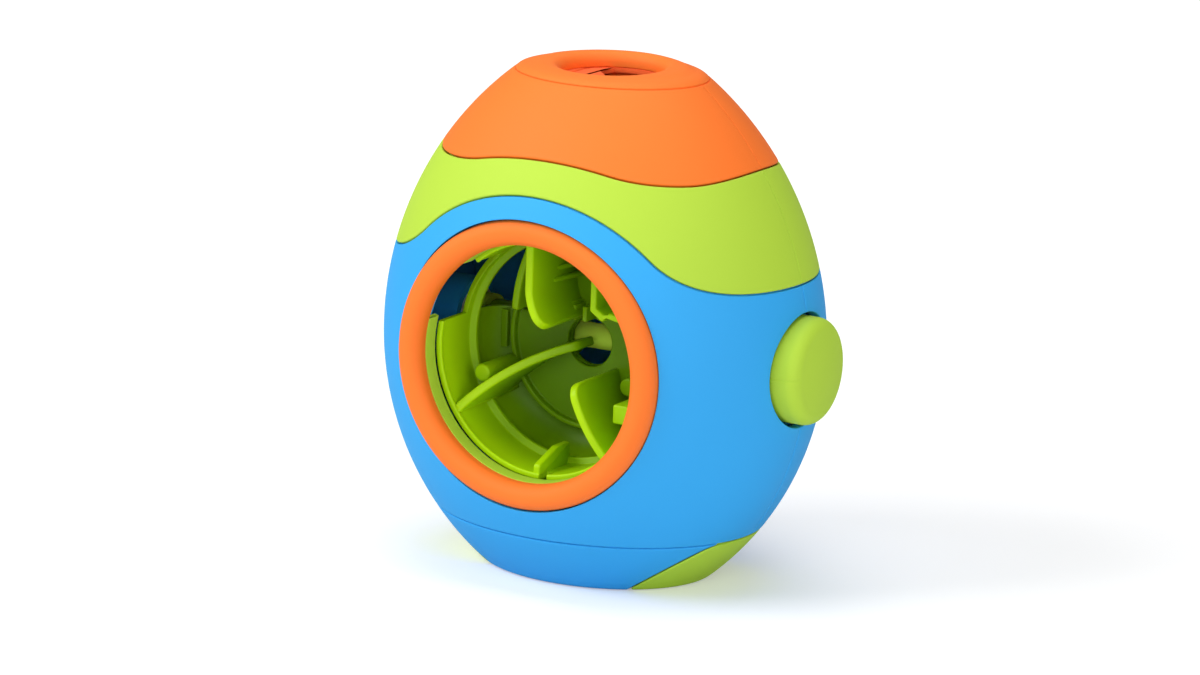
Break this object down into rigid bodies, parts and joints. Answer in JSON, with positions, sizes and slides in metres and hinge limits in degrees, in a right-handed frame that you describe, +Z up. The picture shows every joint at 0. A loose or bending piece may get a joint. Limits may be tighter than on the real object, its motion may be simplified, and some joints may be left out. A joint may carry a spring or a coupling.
{
  "type": "slow feeder tumbler",
  "caption": "Egg-shaped slow feeder for dry food with a round porthole, a maze bowl turned by a side knob, a flap-closed fill opening and a lift-off lid.",
  "frame": {"origin": "on the floor plane, on the egg's upright axis, where the plane of the knob's shaft and the plane through the middle of the porthole cross", "axes": "+Z up, +X towards the tall knob, which is on the right as seen from the porthole, -Y out of the porthole"},
  "size_m": [0.1491, 0.1094, 0.16],
  "materials": {
    "green_plastic": "satin moulded plastic",
    "orange_plastic": "satin moulded plastic",
    "blue_plastic": "satin moulded plastic",
    "valve_rubber": "soft silicone",
    "bush_plastic": "natural acetal",
    "steel": "zinc plated steel",
    "black_rubber": "nitrile rubber"
  },
  "bodies": {
    "housing": {"body_front": "blue_plastic", "body_rear": "blue_plastic", "base_lobe_front": "blue_plastic", "base_lobe_rear": "blue_plastic", "base_pan": "green_plastic", "counterweight": "steel", "weight_cover": "bush_plastic", "cover_screws": "steel", "base_screws": "steel", "shell_screws": "steel", "porthole_ring": "orange_plastic", "ring_liner": "green_plastic", "ring_screws": "steel", "bush_right": "bush_plastic", "bush_left": "bush_plastic"},
    "tumbler": {"tumbler_bowl": "green_plastic", "maze_insert": "green_plastic", "insert_screws": "steel", "knob_right": "green_plastic", "knob_left": "green_plastic", "cross_shaft": "green_plastic", "shaft_pins": "steel", "friction_rings": "black_rubber"},
    "lid": {"cap_front": "orange_plastic", "cap_rear": "orange_plastic", "collar_front": "green_plastic", "collar_rear": "green_plastic", "fill_collar": "orange_plastic", "valve_ring": "valve_rubber", "valve_clamp": "orange_plastic", "hopper": "orange_plastic", "lid_frame": "green_plastic", "deck_screws": "steel"},
    "flap_right": {"petal_right": "valve_rubber"},
    "flap_left": {"petal_left": "valve_rubber"}
  },
  "joints": [
    {"name": "tumbler_spin", "type": "hinge", "parent": "housing", "child": "tumbler", "pos_m": [0, 0, 0.0726], "axis": [1, 0, 0], "continuous": true},
    {"name": "lid_lift", "type": "slide", "parent": "housing", "child": "lid", "axis": [0, 0, 1], "range_m": [0, 0.06]},
    {"name": "petal_right_flex", "type": "hinge", "parent": "lid", "child": "flap_right", "pos_m": [0.013, 0, 0.1542], "axis": [0, -1, 0], "range_deg": [0, 50], "stiffness_Nm_per_rad": 0.013},
    {"name": "petal_left_flex", "type": "hinge", "parent": "lid", "child": "flap_left", "pos_m": [-0.013, 0, 0.1542], "axis": [0, 1, 0], "range_deg": [0, 50], "stiffness_Nm_per_rad": 0.013}
  ]
}
